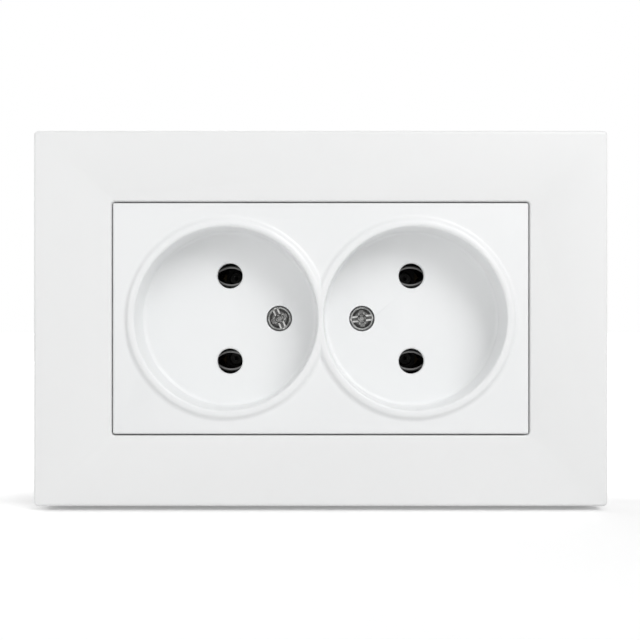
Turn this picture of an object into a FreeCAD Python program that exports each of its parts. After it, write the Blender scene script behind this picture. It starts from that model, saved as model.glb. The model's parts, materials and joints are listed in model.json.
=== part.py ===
import FreeCAD
import Part
import math
import os

# Twin flush wall socket with two round recesses and no earth contact, for one round 60 mm wall box.
# In front of the wall: a white frame, and a white insert with the two recesses, held by two screws.
# Behind the wall: a black contact base with two brass poles, carried by a zinc-plated steel plate that
# screws to the box or holds in it by two claws.
#
# Everything is drawn lying on its back: X to the right, Y up the wall, Z out of the wall towards the
# room, with the origin in the middle of the plate, in the wall's surface. stand_up() then turns each
# piece into its own frame: X to the right, Y into the wall, Z up.
# Sizes are in millimetres. "Rise" is a height above the wall's surface, and a minus value lies in the box.

# Recesses, worked out from the 19 mm between the pins of this plug family
pin_spacing = 19.0
recess_spacing = 40.4
recess_radius = 19.6
recess_draft = 0.2
recess_depth = 10.0
recess_floor_round = 0.9
mouth_round = 0.5
pin_hole_radius = 2.82
pin_hole_bevel = 0.25
floor_thickness = 1.6
cup_wall = 1.6
cup_outer_round = 1.2
rim_rise = 1.0
rim_flat = 0.35
rim_slope_width = 1.9

# Frame
frame_width = 123.3
frame_height = 80.7
frame_corner_radius = 0.9
frame_edge_round = 0.7
frame_wall = 1.8
frame_skin = 2.0
opening_side_margin = 5.1
opening_top_margin = 5.5
opening_corner_radius = 0.8
opening_bevel = 0.3
collar_wall = 1.5
collar_lift = 0.3
ledge_width = 1.3
ledge_thickness = 1.4
frame_rib_thickness = 1.2
frame_rib_pitch = 24.0
frame_rib_lift = 4.0
frame_side_rib_count = 2
frame_long_rib_count = 4

# Insert
insert_gap = 0.36
insert_proud = 0.3
insert_skin = 1.8
insert_edge_bevel = 0.3
skirt_wall = 1.4
skirt_height = 5.0
insert_rib_thickness = 1.2
insert_rib_angles = (50, 130, 230, 310)

# Screws that hold the insert, with the angle at which the photograph shows each slot
cover_screw_offset = 9.2
cover_screw_radius = 1.5
cover_screw_length = 11.0
cover_screw_head_radius = 2.65
cover_screw_head_height = 1.9
cover_screw_head_bevel = 0.45
cover_screw_sink = 0.35
cover_screw_slot_width = 0.6
cover_screw_slot_depth = 0.8
cover_screw_cross_length = 3.5
cover_screw_cross_width = 0.8
cover_screw_hub_radius = 1.0
cover_screw_hub_depth = 1.2
cover_screw_slot_angle = {"left": 114.0, "right": 6.5}
boss_wall = 1.1
boss_floor = 0.9
boss_clearance = 0.2
screw_hole_clearance = 0.2
square_nut_size = 5.5
square_nut_thickness = 1.8
nut_clearance = 0.1
thread_clearance = 0.05

# Steel mounting plate
plate_thickness = 1.0
plate_margin = 3.05
plate_corner_radius = 7.0
plate_opening_clearance = 0.3
box_screw_circle_radius = 30.0
box_slot_width = 4.2
box_slot_length = 7.0
box_slot_half_angle = 12.0
tab_width = 6.0
tab_length = 7.5
tab_offset = 18.0
tab_window_width = 3.6
tab_window_height = 2.6
tab_window_drop = 2.6
lug_clearance = 0.2

# Contact base
base_depth = 19.5
base_floor = 2.5
base_end_margin = 6.2
base_corner_cut = 4.6
base_edge_round = 1.0
trench_end_wall = 1.6
trench_half_height = 3.5
trench_side_wall = 1.4
trench_rib_offset = 15.0
trench_rib_thickness = 1.4
trench_rib_reach = 0.6
notch_start = 15.2
notch_half_height = 4.7
retainer_thickness = 1.5
retainer_margin = 1.0
retainer_clearance = 0.15
retainer_hole_radius = 3.3
retainer_post_size = 2.6
terminal_wall = 1.4

# Contact clips and bars
leaf_thickness = 0.6
lip_radius = 4.3
lip_offset = 1.8
lip_half_width = 2.9
throat_radius = 3.4
throat_offset = 1.6
grip_radius = 2.4
grip_offset = 1.75
grip_half_width = 2.1
root_radius = 9.0
root_offset = 2.5
root_half_width = 2.4
lip_drop = 0.5
throat_drop = 2.2
grip_drop = 6.5
clip_web_thickness = 0.6
rivet_radius = 1.0
rivet_head_radius = 1.7
rivet_head_height = 0.5
rivet_clearance = 0.1
bar_thickness = 0.8
bar_width = 5.4
bar_end_reach = 3.4

# Wire terminals
terminal_half_length = 8.6
terminal_height = 6.0
terminal_depth = 9.0
terminal_gap = 0.3
cage_width = 3.4
cage_height = 3.2
cage_floor = 1.0
wire_offset = 4.4
wire_hole_radius = 1.5
wire_funnel = 0.6
pad_width = 3.0
pad_thickness = 0.7
pad_length = 6.4
pad_gap = 0.05
terminal_screw_radius = 1.5
terminal_screw_head_radius = 2.35
terminal_screw_head_height = 1.6
terminal_screw_slot_width = 0.8
terminal_screw_slot_depth = 0.9
terminal_screw_travel = 2.4
terminal_access_clearance = 0.25

# Claws
claw_screw_offset = 21.0
claw_screw_radius = 1.75
claw_screw_head_radius = 2.9
claw_screw_head_height = 1.3
claw_screw_slot_width = 0.9
claw_screw_slot_depth = 0.7
claw_head_clearance = 0.2
claw_screw_tail = 3.6
claw_nut_drop = 16.0
claw_nut_radius = 2.5
claw_nut_half_length = 2.85
claw_travel = 6.0
claw_tilt = 30.0
trunnion_radius = 1.2
trunnion_clearance = 0.05
trunnion_reach = 0.4
claw_sheet = 1.1
claw_ear_inside = 3.0
claw_web_offset = 4.2
claw_web_length = 9.6
claw_tail = 2.4
claw_tail_round = 1.4
claw_corner_round = 0.4
claw_bend_round = 0.6
claw_tooth_reach = 1.7
claw_tooth_rise = 2.6
claw_tooth_count = 3
claw_tooth_margin = 0.5
heel_x = -0.8
heel_z = 8.2
heel_radius = 1.2
ramp_clearance = 0.35
ramp_margin = 0.1
ramp_plate_gap = 0.2

# How far a cutting shape runs past the face it cuts, and how far an added form runs into its body
past = 1.0
bury = 0.5

# Rises that follow from the sizes above
floor_back = plate_thickness + claw_screw_head_height + claw_head_clearance
floor_front = floor_back + floor_thickness
rim_top = floor_front + recess_depth
insert_face = rim_top - rim_rise
frame_face = insert_face - insert_proud
ledge_top = insert_face - skirt_height
base_back = -base_depth
trench_floor = base_back + base_floor
bar_top = trench_floor + bar_thickness
clip_web_top = bar_top + clip_web_thickness
retainer_back = floor_back - retainer_thickness
terminal_front = bar_top + terminal_depth
terminal_bottom = pin_spacing / 2 + trench_half_height + terminal_gap
terminal_top = terminal_bottom + terminal_height
cage_bottom = terminal_bottom + cage_floor
cage_top = cage_bottom + cage_height
wire_height = (cage_bottom + cage_top - pad_thickness) / 2
terminal_screw_rise = bar_top + terminal_depth / 2
housing_half_width = terminal_half_length + terminal_gap + terminal_wall
housing_top = terminal_top + terminal_gap + terminal_wall
claw_screw_hole_radius = claw_screw_radius + screw_hole_clearance

# Widths and heights that follow from the sizes above
opening_width = recess_spacing + 2 * (recess_radius + opening_side_margin)
opening_height = 2 * (recess_radius + opening_top_margin)
plate_size = frame_height - 2 * (frame_wall + plate_margin)
base_half_width = recess_spacing / 2 + base_end_margin
trench_half_width = base_half_width - trench_end_wall
base_half_height = pin_spacing / 2 + trench_half_height + trench_side_wall
insert_width = opening_width - 2 * insert_gap
insert_height = opening_height - 2 * insert_gap
insert_corner_radius = opening_corner_radius - insert_gap
sides = {"left": -1, "right": 1}
poles = {"live": 1, "neutral": -1}


def vector(x, y, z):
    return FreeCAD.Vector(x, y, z)


def box(x_low, x_high, y_low, y_high, z_low, z_high):
    return Part.makeBox(x_high - x_low, y_high - y_low, z_high - z_low, vector(x_low, y_low, z_low))


def cylinder(radius, z_low, z_high, x=0.0, y=0.0):
    return Part.makeCylinder(radius, z_high - z_low, vector(x, y, z_low))


def cone(radius_low, radius_high, z_low, z_high, x=0.0, y=0.0):
    return Part.makeCone(radius_low, radius_high, z_high - z_low, vector(x, y, z_low))


def half_turn(shape):
    return shape.rotated(vector(0, 0, 0), vector(0, 0, 1), 180)


def rounded_outline(corners, radii):
    """A closed wire through the corners, given in order, each rounded to its radius."""
    count = len(corners)
    if not isinstance(radii, (list, tuple)):
        radii = [radii] * count
    edges = []
    ends = []
    for i, corner in enumerate(corners):
        to_last = (corners[i - 1] - corner).normalize()
        to_next = (corners[(i + 1) % count] - corner).normalize()
        half = to_last.getAngle(to_next) / 2
        setback = radii[i] / math.tan(half)
        start = corner + to_last * setback
        end = corner + to_next * setback
        middle = (to_last + to_next).normalize()
        apex = corner + middle * (radii[i] / math.sin(half) - radii[i])
        ends.append((start, apex, end))
    for i, (start, apex, end) in enumerate(ends):
        if radii[i] > 0:
            edges.append(Part.Arc(start, apex, end).toShape())
        following = ends[(i + 1) % count][0]
        if end.distanceToPoint(following) > 1e-6:
            edges.append(Part.LineSegment(end, following).toShape())
    return Part.Wire(edges)


def flat_points(pairs, rise=0.0):
    return [vector(x, y, rise) for x, y in pairs]


def extruded(wire, along):
    return Part.Face(wire).extrude(along)


def rounded_block(width, height, radius, z_low, z_high, x=0.0, y=0.0):
    across, up = width / 2, height / 2
    corners = [(x - across, y - up), (x + across, y - up), (x + across, y + up), (x - across, y + up)]
    wire = rounded_outline(flat_points(corners, z_low), radius)
    return extruded(wire, vector(0, 0, z_high - z_low))


def revolved(edges):
    """The solid swept by a profile of X and Z turned about the Z axis."""
    return Part.Face(Part.Wire(edges)).revolve(vector(0, 0, 0), vector(0, 0, 1), 360)


def line(x_start, z_start, x_end, z_end):
    return Part.LineSegment(vector(x_start, 0, z_start), vector(x_end, 0, z_end)).toShape()


def arc(start, middle, end):
    return Part.Arc(*[vector(x, 0, z) for x, z in (start, middle, end)]).toShape()


def level_edges(shape, rise, inside=None, outside=None):
    """Edges that lie at one rise, inside or outside a rectangle given as half width and half height."""
    found = []
    for edge in shape.Edges:
        bounds = edge.BoundBox
        if abs(bounds.ZMin - rise) > 1e-4 or abs(bounds.ZMax - rise) > 1e-4:
            continue
        reach_x = max(abs(bounds.XMin), abs(bounds.XMax))
        reach_y = max(abs(bounds.YMin), abs(bounds.YMax))
        if inside and (reach_x > inside[0] or reach_y > inside[1]):
            continue
        if outside and reach_x < outside[0] and reach_y < outside[1]:
            continue
        found.append(edge)
    return found


def spread(count, pitch):
    """Places of a row of things, centred on zero."""
    return [(i - (count - 1) / 2) * pitch for i in range(count)]


# Frame


def frame_ribs():
    """Stiffening ribs between the outer wall and the collar of the opening."""
    inner_x = opening_width / 2 + collar_wall / 2
    inner_y = opening_height / 2 + collar_wall / 2
    outer_x = frame_width / 2 - frame_wall / 2
    outer_y = frame_height / 2 - frame_wall / 2
    low, high = frame_rib_lift, frame_face - frame_skin / 2
    half = frame_rib_thickness / 2
    ribs = []
    for sign in (-1, 1):
        band_y = sorted((sign * inner_y, sign * outer_y))
        band_x = sorted((sign * inner_x, sign * outer_x))
        for x in spread(frame_long_rib_count, frame_rib_pitch):
            ribs.append(box(x - half, x + half, *band_y, low, high))
        for y in spread(frame_side_rib_count, frame_rib_pitch):
            ribs.append(box(*band_x, y - half, y + half, low, high))
    return ribs


def make_frame():
    body = rounded_block(frame_width, frame_height, frame_corner_radius, 0, frame_face)
    rim = level_edges(body, frame_face)
    body = body.makeFillet(frame_edge_round, rim)
    collar_width = opening_width + 2 * collar_wall
    collar_height = opening_height + 2 * collar_wall
    collar_radius = opening_corner_radius + collar_wall
    cavity = rounded_block(
        frame_width - 2 * frame_wall,
        frame_height - 2 * frame_wall,
        frame_corner_radius / 2,
        0,
        frame_face - frame_skin,
    )
    collar = rounded_block(
        collar_width, collar_height, collar_radius, plate_thickness + collar_lift, frame_face
    )
    body = body.cut(cavity.cut(collar)).fuse(frame_ribs())
    opening = rounded_block(
        opening_width, opening_height, opening_corner_radius, ledge_top, frame_face + past
    )
    below = rounded_block(
        opening_width, opening_height, opening_corner_radius, -past, ledge_top - ledge_thickness
    )
    through = rounded_block(
        opening_width - 2 * ledge_width,
        opening_height - 2 * ledge_width,
        opening_corner_radius,
        -past,
        frame_face,
    )
    body = body.cut(opening).cut(below).cut(through).removeSplitter()
    bevelled = level_edges(body, frame_face, inside=(collar_width / 2, collar_height / 2))
    return body.makeChamfer(opening_bevel, bevelled)


# Insert


def rim_bead(x):
    """Raised bead round a recess: a flat crest, then two arcs that run out into the face."""
    inner = recess_radius - cup_wall / 2
    crest_end = recess_radius + mouth_round + rim_flat
    foot = crest_end + rim_slope_width
    turn = 2 * math.atan2(rim_rise, rim_slope_width)
    bend = (rim_slope_width**2 + rim_rise**2) / (4 * rim_rise)
    reach, drop = bend * math.sin(turn / 2), bend * (1 - math.cos(turn / 2))
    half_way = ((crest_end + foot) / 2, (rim_top + insert_face) / 2)
    edges = [
        line(inner, insert_face, inner, rim_top),
        line(inner, rim_top, crest_end, rim_top),
        arc((crest_end, rim_top), (crest_end + reach, rim_top - drop), half_way),
        arc(half_way, (foot - reach, insert_face + drop), (foot, insert_face)),
        line(foot, insert_face, inner, insert_face),
    ]
    return revolved(edges).translated(vector(x, 0, 0))


def recess_space(x):
    """What is cut out for a recess: drafted wall, rounded floor corner and rounded mouth."""
    floor_radius = recess_radius - recess_draft
    bend = recess_floor_round
    inset = bend * (1 - math.sqrt(0.5))
    flare = mouth_round * (1 - math.sqrt(0.5))
    mouth = recess_radius + mouth_round
    edges = [
        line(0, floor_front, floor_radius - bend, floor_front),
        arc(
            (floor_radius - bend, floor_front),
            (floor_radius - inset, floor_front + inset),
            (floor_radius, floor_front + bend),
        ),
        line(floor_radius, floor_front + bend, recess_radius, rim_top - mouth_round),
        arc(
            (recess_radius, rim_top - mouth_round),
            (recess_radius + flare, rim_top - flare),
            (mouth, rim_top),
        ),
        line(mouth, rim_top, mouth, rim_top + past),
        line(mouth, rim_top + past, 0, rim_top + past),
        line(0, rim_top + past, 0, floor_front),
    ]
    return revolved(edges).translated(vector(x, 0, 0))


def cup_body(x):
    outer = cylinder(recess_radius + cup_wall, floor_back, insert_face, x)
    return outer.makeFillet(cup_outer_round, level_edges(outer, floor_back))


def insert_ribs():
    """Thin ribs under the face, from each cup out to the skirt."""
    root = recess_radius + cup_wall / 2
    half = insert_rib_thickness / 2
    reach = insert_width
    inside = rounded_block(
        insert_width - skirt_wall, insert_height - skirt_wall, insert_corner_radius, ledge_top, insert_face
    )
    ribs = []
    for side in sides.values():
        centre = side * recess_spacing / 2
        for angle in insert_rib_angles:
            rib = box(root, reach, -half, half, ledge_top, insert_face - insert_skin / 2)
            rib.rotate(vector(0, 0, 0), vector(0, 0, 1), angle)
            rib = rib.translated(vector(centre, 0, 0)).common(inside)
            keep = box(min(0, side * reach), max(0, side * reach), -reach, reach, 0, rim_top)
            ribs.append(rib.common(keep))
    return ribs


def pin_hole(x, y):
    bevel = pin_hole_bevel
    hole = cylinder(pin_hole_radius, floor_back - past, floor_front + past, x, y)
    flare = cone(pin_hole_radius, pin_hole_radius + bevel, floor_front - bevel, floor_front, x, y)
    return hole.fuse(flare)


def screw_boss(x):
    radius = cover_screw_head_radius + screw_hole_clearance + boss_wall
    return cylinder(radius, boss_end, floor_front - floor_thickness / 2, x)


def screw_hole(x):
    head = cylinder(cover_screw_head_radius + screw_hole_clearance, cover_head_seat, rim_top, x)
    shank = cylinder(cover_screw_radius + screw_hole_clearance, boss_end - past, rim_top, x)
    return head.fuse(shank)


cover_head_seat = floor_front - cover_screw_sink - cover_screw_head_height
boss_end = cover_head_seat - boss_floor


def make_insert():
    face = rounded_block(
        insert_width, insert_height, insert_corner_radius, insert_face - insert_skin, insert_face
    )
    outer = rounded_block(insert_width, insert_height, insert_corner_radius, ledge_top, insert_face)
    hollow = rounded_block(
        insert_width - 2 * skirt_wall,
        insert_height - 2 * skirt_wall,
        insert_corner_radius / 2,
        ledge_top - past,
        insert_face - insert_skin,
    )
    shell = outer.cut(hollow).fuse(face).removeSplitter()
    shell = shell.makeChamfer(insert_edge_bevel, level_edges(shell, insert_face))
    centres = [side * recess_spacing / 2 for side in sides.values()]
    added = insert_ribs()
    for x in centres:
        added += [cup_body(x), rim_bead(x)]
    for side in sides.values():
        added.append(screw_boss(side * cover_screw_offset))
    shell = shell.fuse(added).removeSplitter()
    for x in centres:
        shell = shell.cut(recess_space(x))
        for y in (-pin_spacing / 2, pin_spacing / 2):
            shell = shell.cut(pin_hole(x, y))
    for side in sides.values():
        shell = shell.cut(screw_hole(side * cover_screw_offset))
    return shell


def make_cover_screw(side):
    """Cheese-head screw with a combined slot and cross."""
    top = cover_head_seat + cover_screw_head_height
    head = cylinder(cover_screw_head_radius, cover_head_seat, top)
    head = head.makeChamfer(cover_screw_head_bevel, level_edges(head, top))
    shank = cylinder(cover_screw_radius, cover_head_seat - cover_screw_length, cover_head_seat)
    screw = head.fuse(shank).removeSplitter()
    slot = cover_screw_slot_width / 2
    wing = cover_screw_cross_width / 2
    reach = cover_screw_head_radius + past
    across = cover_screw_cross_length / 2
    floor = top - cover_screw_slot_depth
    screw = screw.cut(box(-reach, reach, -slot, slot, floor, top + past))
    screw = screw.cut(box(-wing, wing, -across, across, floor, top + past))
    hub = cone(cover_screw_hub_radius / 2, cover_screw_hub_radius, top - cover_screw_hub_depth, top)
    screw = screw.cut(hub)
    screw.rotate(vector(0, 0, 0), vector(0, 0, 1), cover_screw_slot_angle[side])
    return screw.translated(vector(sides[side] * cover_screw_offset, 0, 0))


nut_top = cover_head_seat - cover_screw_length / 2


def make_cover_nut(side):
    half = square_nut_size / 2
    x = sides[side] * cover_screw_offset
    nut = box(x - half, x + half, -half, half, nut_top - square_nut_thickness, nut_top)
    return nut.cut(cylinder(cover_screw_radius + thread_clearance, -base_depth, rim_top, x))


# Steel mounting plate


def base_outline(grow, rise):
    """Outline of the contact base: a body with cut corners, a terminal housing above and below, and a
    notch for a claw at each side."""
    right = base_half_width + grow
    cut = base_corner_cut
    shoulder = base_half_height + grow
    quarter = [
        (notch_start + grow, notch_half_height - grow),
        (right, notch_half_height - grow),
        (right, shoulder - cut),
        (right - cut, shoulder),
        (housing_half_width + grow, shoulder),
        (housing_half_width + grow, housing_top + grow),
    ]
    mirrored = [(-x, y) for x, y in reversed(quarter)]
    upper = quarter + mirrored
    lower = [(-x, -y) for x, y in upper]
    return rounded_outline(flat_points(upper + lower, rise), base_edge_round)


def curved_slot(angle):
    """A slot that follows the circle of the wall box's screws, so that the socket can be set level."""
    half = math.radians(box_slot_half_angle)
    inner = box_screw_circle_radius - box_slot_width / 2
    outer = box_screw_circle_radius + box_slot_width / 2
    middle = math.radians(angle)

    def at(radius, turn):
        return vector(radius * math.cos(middle + turn), radius * math.sin(middle + turn), -past)

    def end(turn):
        reach = box_slot_width / 2
        centre = at(box_screw_circle_radius, turn)
        beyond = turn / half * reach
        direction = vector(-math.sin(middle + turn), math.cos(middle + turn), 0)
        return centre + direction * beyond

    edges = [
        Part.Arc(at(inner, -half), at(inner, 0), at(inner, half)).toShape(),
        Part.Arc(at(inner, half), end(half), at(outer, half)).toShape(),
        Part.Arc(at(outer, half), at(outer, 0), at(outer, -half)).toShape(),
        Part.Arc(at(outer, -half), end(-half), at(inner, -half)).toShape(),
    ]
    return extruded(Part.Wire(edges), vector(0, 0, plate_thickness + 2 * past))


def plate_tab(x_sign, y_sign):
    """A tab bent back beside the base, with a window for the base's lug."""
    inner = base_half_height + plate_opening_clearance
    band = sorted((y_sign * inner, y_sign * (inner + plate_thickness)))
    centre = x_sign * tab_offset
    tab = box(centre - tab_width / 2, centre + tab_width / 2, *band, -tab_length, plate_thickness)
    half = tab_window_width / 2
    window = box(
        centre - half,
        centre + half,
        band[0] - past,
        band[1] + past,
        -tab_window_drop - tab_window_height,
        -tab_window_drop,
    )
    return tab.cut(window)


def make_mounting_plate():
    plate = rounded_block(plate_size, plate_size, plate_corner_radius, 0, plate_thickness)
    through = plate_thickness + past
    hole = extruded(base_outline(plate_opening_clearance, -past), vector(0, 0, through + past))
    plate = plate.cut(hole)
    for angle in (90, 270):
        plate = plate.cut(curved_slot(angle))
    for side in sides.values():
        x = side * box_screw_circle_radius
        slot = rounded_block(box_slot_length, box_slot_width, box_slot_width / 2, -past, through, x)
        plate = plate.cut(slot)
        plate = plate.cut(cylinder(claw_screw_hole_radius, -past, through, side * claw_screw_offset))
    tabs = [plate_tab(x_sign, y_sign) for x_sign in (-1, 1) for y_sign in (-1, 1)]
    return plate.fuse(tabs).removeSplitter()


# Contact base


def heel_place(share):
    """Centre of the claw's heel when the claw has made this share of its travel."""
    turn = math.radians(claw_tilt * share)
    x = claw_screw_offset + heel_x * math.cos(turn) + heel_z * math.sin(turn)
    z = -claw_nut_drop + claw_travel * share - heel_x * math.sin(turn) + heel_z * math.cos(turn)
    return x, z


def claw_ramps():
    """Two wedges beside each claw screw. The claw's heels slide up them and swing the claw out."""
    x_rest, z_rest = heel_place(0)
    x_out, z_out = heel_place(1)
    length = math.hypot(x_out - x_rest, z_out - z_rest)
    along_x, along_z = (x_out - x_rest) / length, (z_out - z_rest) / length
    offset = heel_radius + ramp_clearance
    x_line, z_line = x_rest - along_z * offset, z_rest + along_x * offset
    top = -ramp_plate_gap
    root = notch_start - bury
    z_root = z_line + (root - x_line) * along_z / along_x
    x_top = x_line + (top - z_line) * along_x / along_z
    ramps = []
    for side in sides.values():
        for sign in (-1, 1):
            inner = claw_ear_inside - ramp_margin
            y_low = min(sign * inner, sign * (notch_half_height + bury))
            corners = [
                vector(side * root, y_low, z_root),
                vector(side * x_top, y_low, top),
                vector(side * root, y_low, top),
            ]
            wire = Part.makePolygon(corners + corners[:1])
            ramps.append(extruded(wire, vector(0, notch_half_height + bury - inner, 0)))
    return ramps


def plate_lugs():
    """Wedge-shaped lugs that catch in the windows of the steel plate's tabs."""
    half = tab_window_width / 2 - lug_clearance
    back = -tab_window_drop - tab_window_height + lug_clearance
    front = -tab_window_drop - lug_clearance
    reach = plate_opening_clearance + plate_thickness - lug_clearance
    lugs = []
    for x_sign in (-1, 1):
        for y_sign in (-1, 1):
            x_low = x_sign * tab_offset - half
            root = y_sign * (base_half_height - bury)
            tip = y_sign * (base_half_height + reach)
            slope = y_sign * (base_half_height + reach / 2)
            corners = [
                vector(x_low, root, front),
                vector(x_low, tip, front),
                vector(x_low, slope, back),
                vector(x_low, root, back),
            ]
            wire = Part.makePolygon(corners + corners[:1])
            lugs.append(extruded(wire, vector(2 * half, 0, 0)))
    return lugs


def trench(pole):
    """Room for one pole: the trench of its bar and clips, and the chamber of its terminal."""
    y = poles[pole] * pin_spacing / 2
    open_front = floor_back + past
    room = box(
        -trench_half_width,
        trench_half_width,
        y - trench_half_height,
        y + trench_half_height,
        trench_floor,
        open_front,
    )
    for side in sides.values():
        x = side * trench_rib_offset
        half = trench_rib_thickness / 2
        for sign in (-1, 1):
            wall = y + sign * trench_half_height
            tip = wall - sign * trench_rib_reach
            room = room.cut(
                box(x - half, x + half, min(wall, tip), max(wall, tip), trench_floor, open_front)
            )
    reach = terminal_half_length + terminal_gap
    chamber_y = sorted(
        (
            poles[pole] * (terminal_bottom - terminal_gap - bury),
            poles[pole] * (terminal_top + terminal_gap),
        )
    )
    return room.fuse(box(-reach, reach, *chamber_y, trench_floor, open_front))


def terminal_access(pole):
    """Holes in one housing: for the terminal screws from outside and for the wires from behind."""
    cuts = []
    for side in sides.values():
        x = side * wire_offset
        hole = Part.makeCylinder(
            terminal_screw_head_radius + terminal_access_clearance,
            terminal_wall + 2 * past,
            vector(x, poles[pole] * (housing_top + past), terminal_screw_rise),
            vector(0, -poles[pole], 0),
        )
        y = poles[pole] * wire_height
        entry = cylinder(wire_hole_radius, base_back - past, trench_floor + past, x, y)
        mouth = wire_hole_radius + wire_funnel
        funnel = cone(mouth, wire_hole_radius, base_back, base_back + wire_funnel, x, y)
        cuts += [hole, entry, funnel]
    return cuts


def rivet_pockets(pole):
    radius = rivet_head_radius + rivet_clearance
    depth = trench_floor - rivet_head_height - rivet_clearance
    y = poles[pole] * pin_spacing / 2
    return [
        cylinder(radius, depth, trench_floor + past, side * recess_spacing / 2, y) for side in sides.values()
    ]


def cover_screw_room(side):
    """Pocket for the insert's boss, hole for its screw, and the slot that its square nut slides into."""
    x = side * cover_screw_offset
    boss = cover_screw_head_radius + screw_hole_clearance + boss_wall + boss_clearance
    pocket = cylinder(boss, boss_end - boss_clearance, floor_back + past, x)
    shank = cylinder(
        cover_screw_radius + screw_hole_clearance,
        cover_head_seat - cover_screw_length - past,
        floor_back,
        x,
    )
    half = square_nut_size / 2 + nut_clearance
    span = sorted((x - side * half, side * (notch_start + past)))
    slot = box(
        *span,
        -half,
        half,
        nut_top - square_nut_thickness - nut_clearance,
        nut_top + nut_clearance,
    )
    return [pocket, shank, slot]


def make_base():
    body = extruded(base_outline(0, base_back), vector(0, 0, floor_back - base_back))
    body = body.makeChamfer(base_edge_round / 2, level_edges(body, base_back))
    rebate = extruded(
        base_outline(-retainer_margin, retainer_back), vector(0, 0, retainer_thickness + past)
    )
    cuts = [rebate]
    for pole in poles:
        cuts += [trench(pole), *terminal_access(pole), *rivet_pockets(pole)]
    for side in sides.values():
        cuts += cover_screw_room(side)
    body = body.fuse(claw_ramps() + plate_lugs()).removeSplitter()
    for tool in cuts:
        body = body.cut(tool)
    return body


def make_retainer():
    """Plate that closes the base in front of the poles, with posts that hold the terminals down."""
    plate = extruded(
        base_outline(-retainer_margin - retainer_clearance, retainer_back),
        vector(0, 0, retainer_thickness),
    )
    half = retainer_post_size / 2
    for sign in poles.values():
        y = sign * (terminal_bottom + terminal_top) / 2
        post = box(-half, half, y - half, y + half, terminal_front + terminal_gap, retainer_back + bury)
        plate = plate.fuse(post)
    boss = cover_screw_head_radius + screw_hole_clearance + boss_wall + boss_clearance
    for side in sides.values():
        plate = plate.cut(cylinder(boss, retainer_back - past, floor_back + past, side * cover_screw_offset))
        for sign in poles.values():
            x, y = side * recess_spacing / 2, sign * pin_spacing / 2
            plate = plate.cut(cylinder(retainer_hole_radius, retainer_back - past, floor_back + past, x, y))
    return plate.removeSplitter()


# Poles


def leaf_section(rise, radius, offset, half_width):
    """Cross-section of a spring leaf: a thin arc that curves round the pin."""
    outer = radius + leaf_thickness
    turn = math.asin(half_width / radius)
    centre = offset - radius

    def at(distance, angle):
        return vector(distance * math.sin(angle), centre + distance * math.cos(angle), rise)

    edges = [
        Part.Arc(at(radius, -turn), at(radius, 0), at(radius, turn)).toShape(),
        Part.LineSegment(at(radius, turn), at(outer, turn)).toShape(),
        Part.Arc(at(outer, turn), at(outer, 0), at(outer, -turn)).toShape(),
        Part.LineSegment(at(outer, -turn), at(radius, -turn)).toShape(),
    ]
    return Part.Wire(edges)


def spring_leaf():
    """One leaf of a contact clip: flared lip, throat, grip and root, lofted through four sections."""
    front = retainer_back - lip_drop
    sections = [
        leaf_section(front, lip_radius, lip_offset, lip_half_width),
        leaf_section(front - throat_drop, throat_radius, throat_offset, grip_half_width),
        leaf_section(front - grip_drop, grip_radius, grip_offset, grip_half_width),
        leaf_section(bar_top + clip_web_thickness / 2, root_radius, root_offset, root_half_width),
    ]
    return Part.makeLoft(sections, True, False)


def make_clip(pole, side):
    """Contact clip of spring bronze: two curved leaves on a web that is riveted to the bar."""
    leaf = spring_leaf()
    reach = root_offset + leaf_thickness
    web = box(-root_half_width, root_half_width, -reach, reach, bar_top, clip_web_top)
    web = web.cut(cylinder(rivet_radius, bar_top - past, clip_web_top + past))
    clip = web.fuse([leaf, half_turn(leaf)]).removeSplitter()
    return clip.translated(vector(sides[side] * recess_spacing / 2, poles[pole] * pin_spacing / 2, 0))


def make_rivet(pole, side):
    """Hollow rivet through the web of a clip and the bar."""
    shank = cylinder(rivet_radius, trench_floor, clip_web_top)
    front = cylinder(rivet_head_radius, clip_web_top, clip_web_top + rivet_head_height)
    front = front.makeFillet(rivet_head_height / 2, level_edges(front, clip_web_top + rivet_head_height))
    back = cylinder(rivet_head_radius, trench_floor - rivet_head_height, trench_floor)
    rivet = shank.fuse([front, back]).removeSplitter()
    bore = cylinder(rivet_radius / 2, base_back, floor_back)
    rivet = rivet.cut(bore)
    return rivet.translated(vector(sides[side] * recess_spacing / 2, poles[pole] * pin_spacing / 2, 0))


def cage_channel(x, rise_low, rise_high):
    half = cage_width / 2
    return box(x - half, x + half, cage_bottom, cage_top, rise_low, rise_high)


def make_bar(pole):
    """Brass bar that links a pole's two clips, with a broad tab under the terminal."""
    reach = recess_spacing / 2 + bar_end_reach
    y = pin_spacing / 2
    bar = rounded_block(2 * reach, bar_width, bar_width / 4, trench_floor, bar_top, 0, y)
    tab = box(-terminal_half_length, terminal_half_length, y, terminal_top, trench_floor, bar_top)
    bar = bar.fuse(tab).removeSplitter()
    for side in sides.values():
        bar = bar.cut(cylinder(rivet_radius, base_back, bar_top + past, side * recess_spacing / 2, y))
        bar = bar.cut(cage_channel(side * wire_offset, base_back, bar_top + past))
    return bar if pole == "live" else half_turn(bar)


def make_terminal(pole):
    """Brass block on the bar's tab, with a square cage and a threaded hole for each of two wires."""
    block = box(
        -terminal_half_length, terminal_half_length, terminal_bottom, terminal_top, bar_top, terminal_front
    )
    for side in sides.values():
        x = side * wire_offset
        block = block.cut(cage_channel(x, bar_top - past, terminal_front + past))
        thread = Part.makeCylinder(
            terminal_screw_radius + thread_clearance,
            terminal_height,
            vector(x, cage_bottom + cage_floor, terminal_screw_rise),
            vector(0, 1, 0),
        )
        block = block.cut(thread)
    return block if pole == "live" else half_turn(block)


pad_top = cage_top - pad_gap


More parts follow.
